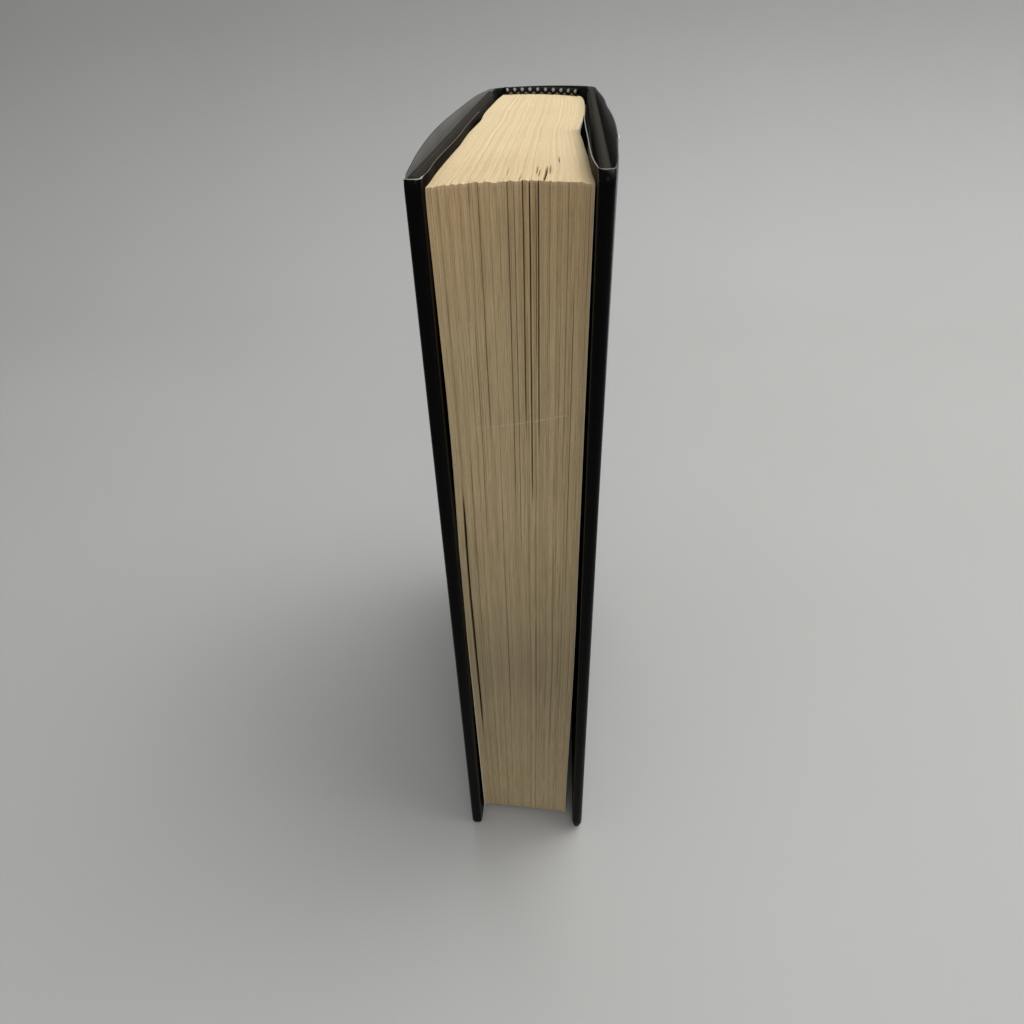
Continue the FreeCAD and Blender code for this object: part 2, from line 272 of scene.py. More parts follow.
def merge_and_sharpen(piece, angle=40.0, distance=1e-6):
    """Joins points that coincide, turns the faces outwards and keeps sharp edges sharp."""
    shape = bmesh.new()
    shape.from_mesh(piece.data)
    bmesh.ops.remove_doubles(shape, verts=shape.verts, dist=distance)
    bmesh.ops.recalc_face_normals(shape, faces=shape.faces)
    shape.to_mesh(piece.data)
    shape.free()
    piece.data.set_sharp_from_angle(angle=math.radians(angle))


def grid_faces(index):
    """Quads over a 2-D array of vertex numbers."""
    a = index[:-1, :-1].ravel()
    b = index[1:, :-1].ravel()
    c = index[1:, 1:].ravel()
    d = index[:-1, 1:].ravel()
    return np.stack([a, b, c, d], axis=1).tolist()


def sheet_normals(grid):
    """Unit normals over a 2-D array of points."""
    along = np.gradient(grid, axis=0)
    across = np.gradient(grid, axis=1)
    normals = np.cross(along, across)
    return normals / np.maximum(np.linalg.norm(normals, axis=2, keepdims=True), 1e-12)


def thick_sheet(name, grid, thickness, materials, attributes=None):
    """A sheet with two faces and four edges; materials are for the left face, right face, edges."""
    rows, columns = grid.shape[:2]
    normals = sheet_normals(grid)
    left = grid + normals * thickness / 2.0
    right = grid - normals * thickness / 2.0
    points = np.concatenate([left.reshape(-1, 3), right.reshape(-1, 3)])
    index = np.arange(rows * columns).reshape(rows, columns)
    other = index + rows * columns
    faces = grid_faces(index) + grid_faces(other[:, ::-1])
    face_materials = [0] * ((rows - 1) * (columns - 1)) + [1] * ((rows - 1) * (columns - 1))
    rims = [np.stack([index[0], other[0]]), np.stack([other[-1], index[-1]]),
            np.stack([other[:, 0], index[:, 0]]), np.stack([index[:, -1], other[:, -1]])]
    for rim in rims:
        quads = grid_faces(rim)
        faces += quads
        face_materials += [2] * len(quads)
    doubled = {key: np.concatenate([np.ravel(values)] * 2)
               for key, values in (attributes or {}).items()}
    piece = make_object(name, points, faces, materials, face_materials, doubled)
    merge_and_sharpen(piece)
    return piece


# Shader nodes
class Shader:
    """A material with one Principled shader and short ways to add nodes to it."""

    def __init__(self, name):
        self.material = bpy.data.materials.new(name)
        self.material.use_nodes = True
        self.tree = self.material.node_tree
        self.surface = self.tree.nodes["Principled BSDF"]

    def node(self, kind, **settings):
        made = self.tree.nodes.new(kind)
        for key, value in settings.items():
            setattr(made, key, value)
        return made

    def feed(self, value, socket):
        if isinstance(value, bpy.types.NodeSocket):
            self.tree.links.new(value, socket)
        else:
            socket.default_value = value

    def attribute(self, name):
        return self.node("ShaderNodeAttribute", attribute_name=name).outputs["Fac"]

    def place(self):
        return self.node("ShaderNodeTexCoord").outputs["Object"]

    def stretch(self, vector, scale):
        made = self.node("ShaderNodeVectorMath", operation="MULTIPLY")
        self.feed(vector, made.inputs[0])
        made.inputs[1].default_value = scale
        return made.outputs[0]

    def combine(self, x, y, z):
        made = self.node("ShaderNodeCombineXYZ")
        for value, socket in zip((x, y, z), made.inputs):
            self.feed(value, socket)
        return made.outputs[0]

    def separate(self, vector):
        made = self.node("ShaderNodeSeparateXYZ")
        self.feed(vector, made.inputs[0])
        return made.outputs

    def math(self, operation, first, second=0.0, third=0.0):
        made = self.node("ShaderNodeMath", operation=operation)
        for value, socket in zip((first, second, third), made.inputs):
            self.feed(value, socket)
        return made.outputs[0]

    def times(self, first, second):
        return self.math("MULTIPLY", first, second)

    def noise(self, vector, scale, detail=3.0, roughness=0.5):
        made = self.node("ShaderNodeTexNoise")
        self.feed(vector, made.inputs["Vector"])
        made.inputs["Scale"].default_value = scale
        made.inputs["Detail"].default_value = detail
        made.inputs["Roughness"].default_value = roughness
        return made.outputs["Fac"]

    def threads(self, vector, scale, distortion):
        """Two sets of threads, one above the other and one side by side."""
        sets = []
        for direction in ("Z", "Y"):
            made = self.node("ShaderNodeTexWave", wave_type="BANDS", bands_direction=direction)
            self.feed(vector, made.inputs["Vector"])
            made.inputs["Scale"].default_value = scale
            made.inputs["Distortion"].default_value = distortion
            sets.append(made.outputs["Fac"])
        return sets

    def span(self, value, low, high, to_low=0.0, to_high=1.0):
        """Maps a range of a value to another range and holds it at both ends."""
        made = self.node("ShaderNodeMapRange")
        made.clamp = True
        self.feed(value, made.inputs["Value"])
        made.inputs["From Min"].default_value = low
        made.inputs["From Max"].default_value = high
        made.inputs["To Min"].default_value = to_low
        made.inputs["To Max"].default_value = to_high
        return made.outputs["Result"]

    def span_mm(self, value, low, high, to_low=0.0, to_high=1.0):
        """The same for a place in the book, with its range in millimetres."""
        return self.span(value, low * MM, high * MM, to_low, to_high)

    def blend(self, factor, first, second):
        """Mixes two colours, through the node's colour sockets."""
        made = self.node("ShaderNodeMix", data_type="RGBA")
        self.feed(factor, made.inputs[0])
        self.feed(first, made.inputs[6])
        self.feed(second, made.inputs[7])
        return made.outputs[2]

    def colour(self, value):
        self.feed(value, self.surface.inputs["Base Color"])

    def roughness(self, value):
        self.feed(value, self.surface.inputs["Roughness"])

    def shine(self, value):
        self.feed(value, self.surface.inputs["Specular IOR Level"])

    def bump(self, height, distance, strength):
        made = self.node("ShaderNodeBump")
        made.inputs["Strength"].default_value = strength
        made.inputs["Distance"].default_value = distance * MM
        self.feed(height, made.inputs["Height"])
        self.feed(made.outputs["Normal"], self.surface.inputs["Normal"])


def rgb(red, green, blue):
    return (red, green, blue, 1.0)


BLACK_RIM = rgb(0.012, 0.012, 0.012)
WHITE_CORE = rgb(0.72, 0.69, 0.63)


def page_edge_material():
    """Trimmed leaf ends: cream at the head, browner at the fore-edge from age and painted shade, with
    painted shade between leaves.
    """
    paint = Shader("page_edges")
    aged_and_shaded = paint.attribute("aged_and_shaded")
    tone = paint.attribute("tone")
    leaf = paint.attribute("leaf")
    run = paint.attribute("run")
    place = paint.place()
    lines = paint.noise(paint.combine(leaf, paint.times(run, 0.09), aged_and_shaded), 1.1, 2.0, 0.7)
    signatures = paint.noise(paint.combine(leaf, paint.times(run, 0.01), 4.0), 0.09, 2.0)
    blotch = paint.noise(place, 55.0, 4.0)
    grit = paint.noise(place, 1900.0, 2.0, 0.6)
    up = paint.separate(place)[2]
    cream = paint.blend(blotch, rgb(0.715, 0.565, 0.335), rgb(0.785, 0.635, 0.400))
    warm = paint.blend(blotch, rgb(0.60, 0.42, 0.220), rgb(0.69, 0.50, 0.280))
    plain = paint.blend(blotch, rgb(0.59, 0.455, 0.255), rgb(0.68, 0.54, 0.325))
    # A darker tan over the fore-edge's lower middle, as painted shade
    shaded_tan = paint.blend(blotch, rgb(0.373, 0.295, 0.175), rgb(0.430, 0.353, 0.220))
    shade_band = paint.times(paint.span_mm(up, *SHADE_BAND_BELOW), paint.span_mm(up, *SHADE_BAND_ABOVE))
    upper = paint.blend(paint.span_mm(up, *WARM_HEAD), plain, warm)
    tan = paint.blend(shade_band, upper, shaded_tan)
    # The fore-edge's browner colour is partly the paper's age and partly painted shade
    base = paint.blend(aged_and_shaded, cream, tan)
    fade = paint.math("ADD", paint.times(aged_and_shaded, 0.46), 0.08)
    shade = paint.times(paint.span(lines, 0.40, 0.66), fade)
    streak = paint.blend(shade, base, rgb(0.27, 0.20, 0.11))
    group = paint.times(paint.span(signatures, 0.45, 0.75, 0.0, 0.35), aged_and_shaded)
    banded = paint.blend(group, streak, rgb(0.46, 0.34, 0.19))
    flecked = paint.blend(paint.span(grit, 0.56, 0.80, 0.0, 0.35), banded, rgb(0.26, 0.19, 0.10))
    # The tone darkens each leaf by its own tone and adds painted shade in the deep gaps between leaves
    deep = paint.blend(paint.times(tone, 0.95), flecked, rgb(0.060, 0.038, 0.018))
    scratched = paint.times(fore_scratch(paint, place), aged_and_shaded)
    paint.colour(paint.blend(scratched, deep, rgb(0.72, 0.62, 0.44)))
    paint.roughness(paint.span(blotch, 0.3, 0.7, 0.80, 0.92))
    paint.shine(0.2)
    paint.bump(lines, 0.05, 0.6)
    return paint.material


def fore_scratch(paint, place):
    """One long faint scratch over the fore-edge: a shallow arc that fades along its length."""
    across, _, up = paint.separate(place)
    share = paint.math("POWER", paint.span_mm(across, -SCRATCH_HALF, SCRATCH_HALF), 2.6)
    arc = paint.math("MULTIPLY_ADD", share, SCRATCH_RISE * MM, SCRATCH_HEIGHT * MM)
    away = paint.math("ABSOLUTE", paint.math("SUBTRACT", up, arc))
    line = paint.span_mm(away, 0.10, 0.26, 0.5, 0.0)
    ends = paint.times(paint.span_mm(across, -SCRATCH_HALF, -9.0), paint.span_mm(across, 14.5, 12.0))
    broken = paint.span(paint.noise(place, 700.0, 2.0), 0.42, 0.60, 0.15, 1.0)
    return paint.times(paint.times(line, ends), broken)


def endpaper_material(name, edge_shade):
    """Uncoated endpaper with faint fibres, darkened over the turned-in cloth at head and tail as
    painted shade, strongest at the head.
    """
    paint = Shader(name)
    place = paint.place()
    fibres = paint.noise(paint.stretch(place, (1.0, 1.0, 3.0)), 900.0, 4.0, 0.7)
    clouds = paint.noise(place, 30.0, 3.0)
    base = paint.blend(clouds, rgb(0.70, 0.61, 0.44), rgb(0.78, 0.70, 0.54))
    up = paint.separate(place)[2]
    at_head = paint.span_mm(up, *SHADED_HEAD, 0.0, edge_shade)
    at_tail = paint.span_mm(up, *DARKENED_TAIL, 0.0, 0.7 * edge_shade)
    # Painted shade near the head and, weaker, near the tail
    shaded_paper = paint.blend(paint.math("MAXIMUM", at_head, at_tail), base, rgb(0.030, 0.025, 0.018))
    paint.colour(paint.blend(paint.span(fibres, 0.55, 0.8, 0.0, 0.15), shaded_paper, rgb(0.5, 0.42, 0.28)))
    paint.roughness(paint.span(clouds, 0.3, 0.7, 0.82, 0.92))
    paint.bump(fibres, 0.03, 0.4)
    return paint.material


def jacket_outside_material():
    """Glossy black laminate with faint scuffs, rubbed white along its worn edges."""
    paint = Shader("jacket_gloss")
    place = paint.place()
    haze = paint.noise(place, 24.0, 5.0, 0.6)
    hair = paint.noise(paint.stretch(place, (1.0, 1.0, 14.0)), 260.0, 2.0, 0.5)
    scratch = paint.span(hair, 0.76, 0.80)
    black = paint.blend(haze, rgb(0.0010, 0.0010, 0.0012), rgb(0.0026, 0.0026, 0.0027))
    scuffed = paint.blend(paint.times(scratch, 0.25), black, rgb(0.12, 0.12, 0.12))
    worn = paint.attribute("worn")
    ragged = paint.noise(place, 1400.0, 3.0, 0.7)
    uneven = paint.span(ragged, 0.3, 0.7, -0.22, 0.22)
    rubbed = paint.span(paint.math("ADD", worn, uneven), 0.40, 0.55)
    core = paint.blend(paint.attribute("bare"), BLACK_RIM, WHITE_CORE)
    paint.colour(paint.blend(rubbed, scuffed, core))
    gloss = paint.span(haze, 0.3, 0.7, 0.20, 0.33)
    paint.roughness(paint.math("MAXIMUM", gloss, paint.times(rubbed, 0.85)))
    paint.shine(paint.span(paint.attribute("matt"), 0.0, 1.0, 0.05, 0.0))
    paint.bump(paint.noise(place, 120.0, 3.0), 0.05, 0.35)
    return paint.material


def jacket_inside_material():
    """Back of the jacket: dark satin paper."""
    paint = Shader("jacket_inside")
    place = paint.place()
    clouds = paint.noise(place, 60.0, 5.0, 0.6)
    grain = paint.noise(place, 1500.0, 3.0)
    paint.colour(paint.blend(clouds, rgb(0.225, 0.222, 0.208), rgb(0.315, 0.309, 0.290)))
    paint.roughness(paint.span(clouds, 0.3, 0.7, 0.42, 0.58))
    paint.bump(grain, 0.02, 0.4)
    return paint.material


def jacket_core_material():
    """Cut edge of the jacket: black, with the white paper core rubbed bare in places."""
    paint = Shader("jacket_core")
    dirt = paint.noise(paint.place(), 420.0, 5.0, 0.7)
    soiled = paint.blend(paint.span(dirt, 0.40, 0.75), WHITE_CORE, rgb(0.45, 0.41, 0.36))
    paint.colour(paint.blend(paint.attribute("bare"), BLACK_RIM, soiled))
    paint.roughness(paint.span(dirt, 0.3, 0.7, 0.8, 0.95))
    paint.bump(dirt, 0.05, 0.5)
    return paint.material


def cloth_material(name, dark, light):
    """Fine book cloth: crossed threads in relief, with uneven dye."""
    paint = Shader(name)
    place = paint.place()
    rib, warp = paint.threads(place, 620.0, 1.2)
    weave = paint.times(rib, warp)
    dye = paint.noise(place, 45.0, 5.0, 0.65)
    tone = paint.math("ADD", paint.times(weave, 0.45), paint.times(dye, 0.55))
    paint.colour(paint.blend(tone, dark, light))
    paint.roughness(paint.span(dye, 0.3, 0.7, 0.80, 0.92))
    paint.shine(0.06)
    paint.bump(weave, 0.06, 0.7)
    return paint.material


def thread_material():
    """Headband thread in two colours, given by the piece's own stripes."""
    paint = Shader("band_thread")
    stripe = paint.attribute("stripe")
    fuzz = paint.noise(paint.place(), 2600.0, 3.0, 0.7)
    white = paint.blend(fuzz, rgb(0.21, 0.22, 0.20), rgb(0.37, 0.38, 0.35))
    black = paint.blend(fuzz, rgb(0.003, 0.003, 0.003), rgb(0.010, 0.010, 0.009))
    paint.colour(paint.blend(paint.span(stripe, 0.4, 0.6), black, white))
    paint.roughness(paint.span(fuzz, 0.3, 0.7, 0.6, 0.8))
    paint.shine(0.1)
    paint.bump(fuzz, 0.03, 0.5)
    return paint.material


def fibre_material(name, dark, light, scale, distance):
    """Plain fibrous stuff: board, kraft paper or the cut edge of an endpaper, made dark there as
    painted shade.
    """
    paint = Shader(name)
    flecks = paint.noise(paint.place(), scale, 6.0, 0.7)
    paint.colour(paint.blend(flecks, dark, light))
    paint.roughness(paint.span(flecks, 0.3, 0.7, 0.8, 0.95))
    paint.bump(flecks, distance, 0.6)
    return paint.material


def gauze_material():
    """Open starched gauze: two sets of threads with gaps between."""
    paint = Shader("spine_gauze_cloth")
    up, side = paint.threads(paint.place(), 260.0, 1.0)
    weave = paint.math("MAXIMUM", up, side)
    paint.colour(paint.blend(paint.span(weave, 0.4, 0.9), rgb(0.42, 0.37, 0.28), rgb(0.76, 0.73, 0.65)))
    paint.roughness(paint.span(weave, 0.0, 1.0, 0.95, 0.8))
    paint.bump(weave, 0.12, 0.8)
    return paint.material


# Block of pages
def block_straight(side, y, level):
    """Half width of the block, swollen at the head and leaning at the tail."""
    swell = TAIL_SWELL + (SWELL[side] - TAIL_SWELL) * level
    share = np.clip((SHOULDER_Y - y) / (SHOULDER_Y - FORE_EDGE_Y), 0.0, 1.0)
    lean = SIDE_LEAN[side] * smooth((LEAN_TOP[side] - level) / LEAN_FADE[side])
    return SHOULDER_X + swell * share + lean * share ** 1.5


def block_wander(side, y, level):
    """How far out of straight a side of the block is, most at the head."""
    return through(WANDER[side], y) * level * level


def block_side(side, y, level):
    """Distance of a side of the block from the middle plane."""
    return block_straight(side, y, level) + block_wander(side, y, level)


class Leaves:
    """Uneven leaf ends: tones and small steps for each leaf, the same on every run."""

    def __init__(self):
        rng = np.random.default_rng(7)
        tone = 0.10 * np.abs(rng.normal(size=LEAVES)) ** 1.6
        tone += 0.06 * np.maximum(wander(rng, LEAVES, 5), 0.0)
        dark = rng.choice(LEAVES, 60, replace=False)
        tone[dark] += rng.uniform(0.12, 0.45, 60)
        self.tone = np.clip(tone, 0.0, 0.8)
        self.step = 0.05 * rng.normal(size=LEAVES) + 0.07 * wander(rng, LEAVES, 4)
        self.head_step = 0.022 * rng.normal(size=LEAVES) + 0.04 * wander(rng, LEAVES, 3)
        self.ragged = wander(rng, LEAVES, 4)
        self.phase = rng.uniform(0.0, 2.0 * math.pi, LEAVES)
        self.rate = rng.uniform(0.6, 2.2, LEAVES)
        self.drift = wander(rng, 400, 45)
        self.head_drift = [wander(rng, 400, 42), wander(rng, 400, 26)]


def at_leaf(values, place):
    """Value of the nearest leaf."""
    return values[np.clip(np.round(place).astype(int), 0, LEAVES - 1)]


def at_share(values, share):
    """Value at a share of a whole list's length."""
    return np.interp(share, np.linspace(0.0, 1.0, len(values)), values)


leaves = Leaves()
# Gaps between leaves: leaf share, start and end along the edge, depth and half width in mm
FORE_GAPS = ((0.583, 0.72, 1.06, 1.1, 0.09), (0.625, 0.62, 1.06, 1.3, 0.10),
             (0.679, 0.70, 1.06, 1.2, 0.09), (0.664, 0.80, 1.03, 0.5, 0.07),
             (0.057, 0.19, 0.68, 2.4, 0.19), (0.255, 0.975, 1.01, 0.3, 0.12),
             (0.310, 0.70, 1.03, 0.4, 0.06), (0.490, 0.60, 1.06, 0.5, 0.06),
             (0.530, 0.50, 1.06, 0.4, 0.06), (0.240, 0.55, 0.90, 0.3, 0.06),
             (0.905, 0.45, 0.95, 0.4, 0.06), (0.800, 0.15, 0.60, 0.3, 0.06),
             (0.380, 0.20, 0.70, 0.3, 0.06), (0.140, 0.40, 0.75, 0.4, 0.06))
# Slits in the head: leaf share, start and end back from the fore-edge, depth and half width in mm
HEAD_GAPS = ((0.712, 0.0, 0.110, 1.6, 0.16), (0.672, 0.03, 0.085, 0.7, 0.09),
             (0.655, 0.05, 0.11, 0.6, 0.08), (0.735, 0.05, 0.12, 0.6, 0.09),
             (0.560, 0.0, 0.05, 0.5, 0.08), (0.795, 0.14, 0.19, 0.6, 0.09),
             (0.250, 0.0, 0.030, 0.4, 0.12), (0.47, 0.03, 0.10, 0.4, 0.07))


def gap_depth(gaps, share, place):
    """Depth in mm of the listed gaps at a leaf share and a place along the edge."""
    depth = np.zeros(np.broadcast(share, place).shape)
    for centre, low, high, deep, half_width in gaps:
        across = np.exp(-((share - centre) * 2.0 * SHOULDER_X / half_width) ** 2)
        middle = (low + high) / 2.0
        reach = (high - low) / 2.0
        run = smooth((1.0 - np.abs(place - middle) / reach) * 2.5)
        depth = np.maximum(depth, deep * across * run)
    return depth


def share_samples(count):
    """Even samples over the leaves, with extra ones at the gaps."""
    extra = [centre + offset * half_width / (2.0 * SHOULDER_X)
             for centre, low, high, deep, half_width in FORE_GAPS + HEAD_GAPS
             for offset in (-1.0, -0.4, 0.0, 0.4, 1.0)]
    return np.unique(np.round(np.concatenate([np.linspace(0.0, 1.0, count), extra]), 5))


def block_points(share, along, level):
    """Surface points of the block: share of the leaves, 0 fore-edge to 1 spine, 0 tail to 1 head."""
    share, along, level = np.broadcast_arrays(share, along, level)
    leaf = share * (LEAVES - 1)
    near_fore = smooth(1.0 - along / FORE_ZONE)
    sway = at_share(leaves.drift, level)
    end_fade = smooth((1.0 - np.abs(2.0 * share - 1.0)) * 12.0)
    hollow = TAIL_HOLLOW + (HEAD_HOLLOW - TAIL_HOLLOW) * level
    nod = (1.0 - share) * (TAIL_SETBACK * (1.0 - level) - HEAD_ADVANCE * level)
    fore = FORE_EDGE_Y + hollow * (1.0 - (2.0 * share - 1.0) ** 2) + nod
    step = at_leaf(leaves.step, leaf + 1.5 * sway)
    fore = fore + near_fore * end_fade * (step + gap_depth(FORE_GAPS, share, level))
    spine = SPINE_CENTRE_Y + np.sqrt(SPINE_RADIUS ** 2 - (SHOULDER_X * (2.0 * share - 1.0)) ** 2)
    y = fore + along * (spine - fore)
    left = -block_straight(FRONT, y, level)
    right = block_straight(BACK, y, level)
    middle = np.sin(math.pi * share)
    x = left + (right - left) * share
    x = x - block_wander(FRONT, y, level) * (1.0 - share) ** 2
    x = x + block_wander(BACK, y, level) * share ** 2
    x = x + 0.22 * middle * sway * (1.0 - along)
    flow = 0.20 * at_share(leaves.head_drift[0], along)
    flow = flow + 0.14 * np.sin(9.0 * share) * at_share(leaves.head_drift[1], along)
    x = x + level * middle * flow * smooth(along * 12.0)
    tall = at_leaf(leaves.head_step, leaf) + 0.11 * near_fore * at_leaf(leaves.ragged, leaf)
    rise = BACK_RISE * (1.0 - share) * along ** 1.5
    at_head = smooth((level - (1.0 - HEAD_ZONE)) / HEAD_ZONE)
    slit = gap_depth(HEAD_GAPS, share, along)
    z = BLOCK_TAIL + level * (BLOCK_HEAD - BLOCK_TAIL)
    z = z + at_head * (end_fade * (np.minimum(tall, 0.25) - slit) + rise)
    return np.stack([x, y, z], axis=-1)


def leaf_values(kind, share, along, level):
    """Shader values over one face of the block: age with painted shade, tone, leaf number and run along
    the leaf.
    """
    share, along, level = np.broadcast_arrays(share, along, level)
    if kind == "head":
        place = along
        swing = 3.0 * at_share(leaves.head_drift[0], along)
        gap = gap_depth(HEAD_GAPS, share, along)
        strength = 0.35
        aged_and_shaded = 0.30 * smooth(1.0 - along / 0.35)
    else:
        place = level
        swing = 2.0 * at_share(leaves.drift, level)
        gap = gap_depth(FORE_GAPS, share, level)
        strength = 1.0
        aged_and_shaded = np.ones(share.shape)
    leaf = share * (LEAVES - 1)
    turn = at_leaf(leaves.phase, leaf) + 6.0 * place * at_leaf(leaves.rate, leaf)
    tone = strength * at_leaf(leaves.tone, leaf + swing) * (0.62 + 0.38 * np.sin(turn))
    # The tone holds painted shade where the gaps between leaves are deep
    return {"aged_and_shaded": aged_and_shaded, "tone": np.clip(tone + 0.75 * gap, 0.0, 1.0), "leaf": leaf + swing,
            "run": place * (BLOCK_HEAD - BLOCK_TAIL)}


def strip_faces(first, last, start_side, end_side):
    """Long faces between two rows of points, with many-sided ones along the two outer chains."""
    faces = [[first[k], first[k + 1], last[k + 1], last[k]] for k in range(1, len(first) - 2)]
    faces.append([first[1], last[1]] + start_side[::-1])
    faces.append([last[-2], first[-2]] + end_side)
    return faces


def build_pages(material):
    """The block: leaf ends in relief at the head and fore-edge, plainer elsewhere."""
    share = share_samples(330)[:, None]
    height = (1.0 - (1.0 - np.linspace(0.0, 1.0, 84)) ** 1.25)[None, :]
    depth = (np.linspace(0.0, 1.0, 84) ** 1.35)[None, :]
    none = np.zeros((1, 1))
    whole = np.ones((1, 1))
    relief = {
        "fore": (share, none, height),
        "head": (share, depth, whole),
        "front": (none, depth.T, height),
        "back": (whole, depth.T, height),
    }
    plain = {
        "tail": ((share, none, none), (share, whole, none),
                 (none, depth, none), (whole, depth, none)),
        "spine": ((share, whole, none), (share, whole, whole),
                  (none, whole, height), (whole, whole, height)),
    }
    points = []
    faces = []
    values = {"aged_and_shaded": [], "tone": [], "leaf": [], "run": []}

    def add(kind, place):
        """Adds the points of one patch and gives back their numbers."""
        start = sum(len(patch) for patch in points)
        patch = block_points(*place)
        points.append(patch.reshape(-1, 3))
        for key, value in leaf_values(kind, *place).items():
            values[key].append(np.ravel(value))
        return np.arange(start, start + patch[..., 0].size).reshape(patch.shape[:2])

    for kind, place in relief.items():
        faces += grid_faces(add(kind, place))
    for kind, places in plain.items():
        faces += strip_faces(*[add(kind, place).ravel().tolist() for place in places])
    piece = make_object("pages_block", np.concatenate(points), faces, [material],
                        attributes={key: np.concatenate(v) for key, v in values.items()})
    merge_and_sharpen(piece, angle=50.0, distance=2e-6)
    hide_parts("pages")
    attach(piece, "text_block")


def build_flyleaf(side, material):
    """Free leaf along the block's side, with its fold at the shoulder."""
    ys = np.linspace(FORE_EDGE_Y - LEAF_GAP, SHOULDER_Y, 70)
    levels = np.linspace(0.0, 1.0, 40)
    grid = np.zeros((len(ys) + 6, len(levels), 3))
    for k, level in enumerate(levels):
        x = block_side(side, ys, level) + LEAF_GAP + FLYLEAF / 2.0
        edge = smooth(1.0 - (ys - FORE_EDGE_Y) / 8.0)
        x = x + 0.06 * edge * math.sin(5.0 * level + 0.6)
        start_x = x[-1]
        end_x = INNER_X + LINING / 2.0
        turn = np.linspace(0.0, math.pi, 6)[1:]
        middle = (start_x + end_x) / 2.0
        radius = (end_x - start_x) / 2.0
        fold_x = middle - radius * np.cos(turn)
        fold_y = SHOULDER_Y + 0.35 * np.sin(turn)
        all_x = np.concatenate([x, fold_x, [end_x]])
        all_y = np.concatenate([ys, fold_y, [BLEND_END_Y]])
        sunk = GUTTER_SINK * smooth((all_y - SHOULDER_Y + 12.0) / 9.0)
        z = BLOCK_TAIL + level * (BLOCK_HEAD - BLOCK_TAIL - sunk)
        grid[:, k] = np.stack([side * all_x, all_y, z], axis=1)
    name = SIDE[side] + "_flyleaf"
    piece = thick_sheet(name + "_paper", grid, FLYLEAF, [material] * 3)
    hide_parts(name)
    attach(piece, "text_block")


def blend_across_joint(piece):
    """Bakes the placement of a sheet of the case or jacket into its mesh; it is not bent with its
    cover.
    """
    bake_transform(piece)


def build_pastedown(side, materials):
    """Endpaper half on the board, carried through the joint to the fold at the shoulder."""
    us = np.concatenate([np.linspace(COVER_DEPTH - FORE_SQUARE, 6.0, 24), np.linspace(4.0, 0.4, 14)])
    flat = [on_cover(side, u, LINING / 2.0) for u in us]
    gutter_y = np.linspace(JOINT_Y, BLEND_END_Y, 8)
    path = flat + [(side * (INNER_X + LINING / 2.0), y) for y in gutter_y]
    zs = np.linspace(BLOCK_TAIL, BLOCK_HEAD - GUTTER_SINK, 12)
    grid = np.array([[(x, y, z) for z in zs] for x, y in path])
    name = SIDE[side] + "_pastedown"
    piece = thick_sheet(name + "_paper", grid, LINING, materials)
    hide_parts(name)
    blend_across_joint(piece)


# Case
def spine_arc(side, radius, start_x, count):
    """Plan of a layer over half of the rounded spine, to its middle."""
    turns = np.linspace(math.asin(start_x / radius), 0.0, count)
    return [(side * radius * math.sin(t), SPINE_CENTRE_Y + radius * math.cos(t)) for t in turns]


def joint_run(side, offset, end_y):
    """Plan of a layer's straight run from the joint towards the spine."""
    return [(side * (INNER_X + offset), y) for y in np.linspace(JOINT_Y + 0.15, end_y, 8)[:-1]]


def build_gauze(side, material):
    """Gauze from the board's inside, through the joint, to the middle of the spine."""
    offset = LINING + GAUZE / 2.0
    radius = SPINE_RADIUS + GAUZE / 2.0
    us = np.concatenate([np.linspace(GAUZE_FLANGE, 5.0, 8), np.linspace(4.0, 0.3, 12)])
    flange = [on_cover(side, u, offset) for u in us]
    arc = spine_arc(side, radius, SHOULDER_X - 0.1, 16)
    loose_end = spine_arc(side, radius + GAUZE_SLACK, INNER_X + offset, 2)[0]
    run = [point for point in joint_run(side, offset, loose_end[1]) if point[1] < arc[0][1] - 0.3]
    path = flange + run + arc
    zs = np.linspace(*GAUZE_ENDS, 10)
    grid = np.array([[(x, y, z) for z in zs] for x, y in path])
    name = SIDE[side] + "_gauze"
    piece = thick_sheet(name + "_cloth", grid, GAUZE * 0.8, [material] * 3)
    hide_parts(name + "_flange", "spine_gauze")
    blend_across_joint(piece)


def rounded_slab(low, high, radius):
    """Slab on a cover from two corners in its own (u, v, z), rounded at all but its joint end."""
    shape = bmesh.new()
    bmesh.ops.create_cube(shape, size=1.0)
    for vertex in shape.verts:
        vertex.co = [low[k] if vertex.co[k] < 0 else high[k] for k in range(3)]
    edges = [e for e in shape.edges if max(v.co.x for v in e.verts) > low[0]]
    bmesh.ops.bevel(shape, geom=edges, offset=radius, segments=7, profile=0.5, affect="EDGES")
    return shape


def link_slab(shape, side, name, material):
    """Places a slab on its cover; the front one is mirrored there, so its faces are turned back."""
    for vertex in shape.verts:
        x, y = on_cover(side, vertex.co.x, vertex.co.y)
        vertex.co = (x * MM, y * MM, vertex.co.z * MM)
    if side == FRONT:
        bmesh.ops.reverse_faces(shape, faces=shape.faces[:])
    mesh = bpy.data.meshes.new(name)
    shape.to_mesh(mesh)
    shape.free()
    mesh.materials.append(material)
    piece = link_mesh(name, mesh)
    mesh.set_sharp_from_angle(angle=math.radians(35.0))
    return piece


def add_wall(piece, thickness, offset):
    """Thickens a skin, to the back of its faces with offset -1 and to their front with 1."""
    wall = piece.modifiers.new("thickness", "SOLIDIFY")
    wall.thickness = thickness * MM
    wall.offset = offset


def build_board(side, material):
    """Board with softened edges, just inside its cloth."""
    skin = CLOTH + SKIN_GAP
    low = (BOARD_SETBACK + SKIN_GAP, LINING + skin, skin)
    high = (COVER_DEPTH - skin, COVER_THICKNESS - skin, COVER_HEIGHT - skin)
    shape = rounded_slab(low, high, BOARD_ROUNDING)
    piece = link_slab(shape, side, SIDE[side] + "_board_card", material)
    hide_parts(SIDE[side] + "_board")
    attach(piece, BODY[side])


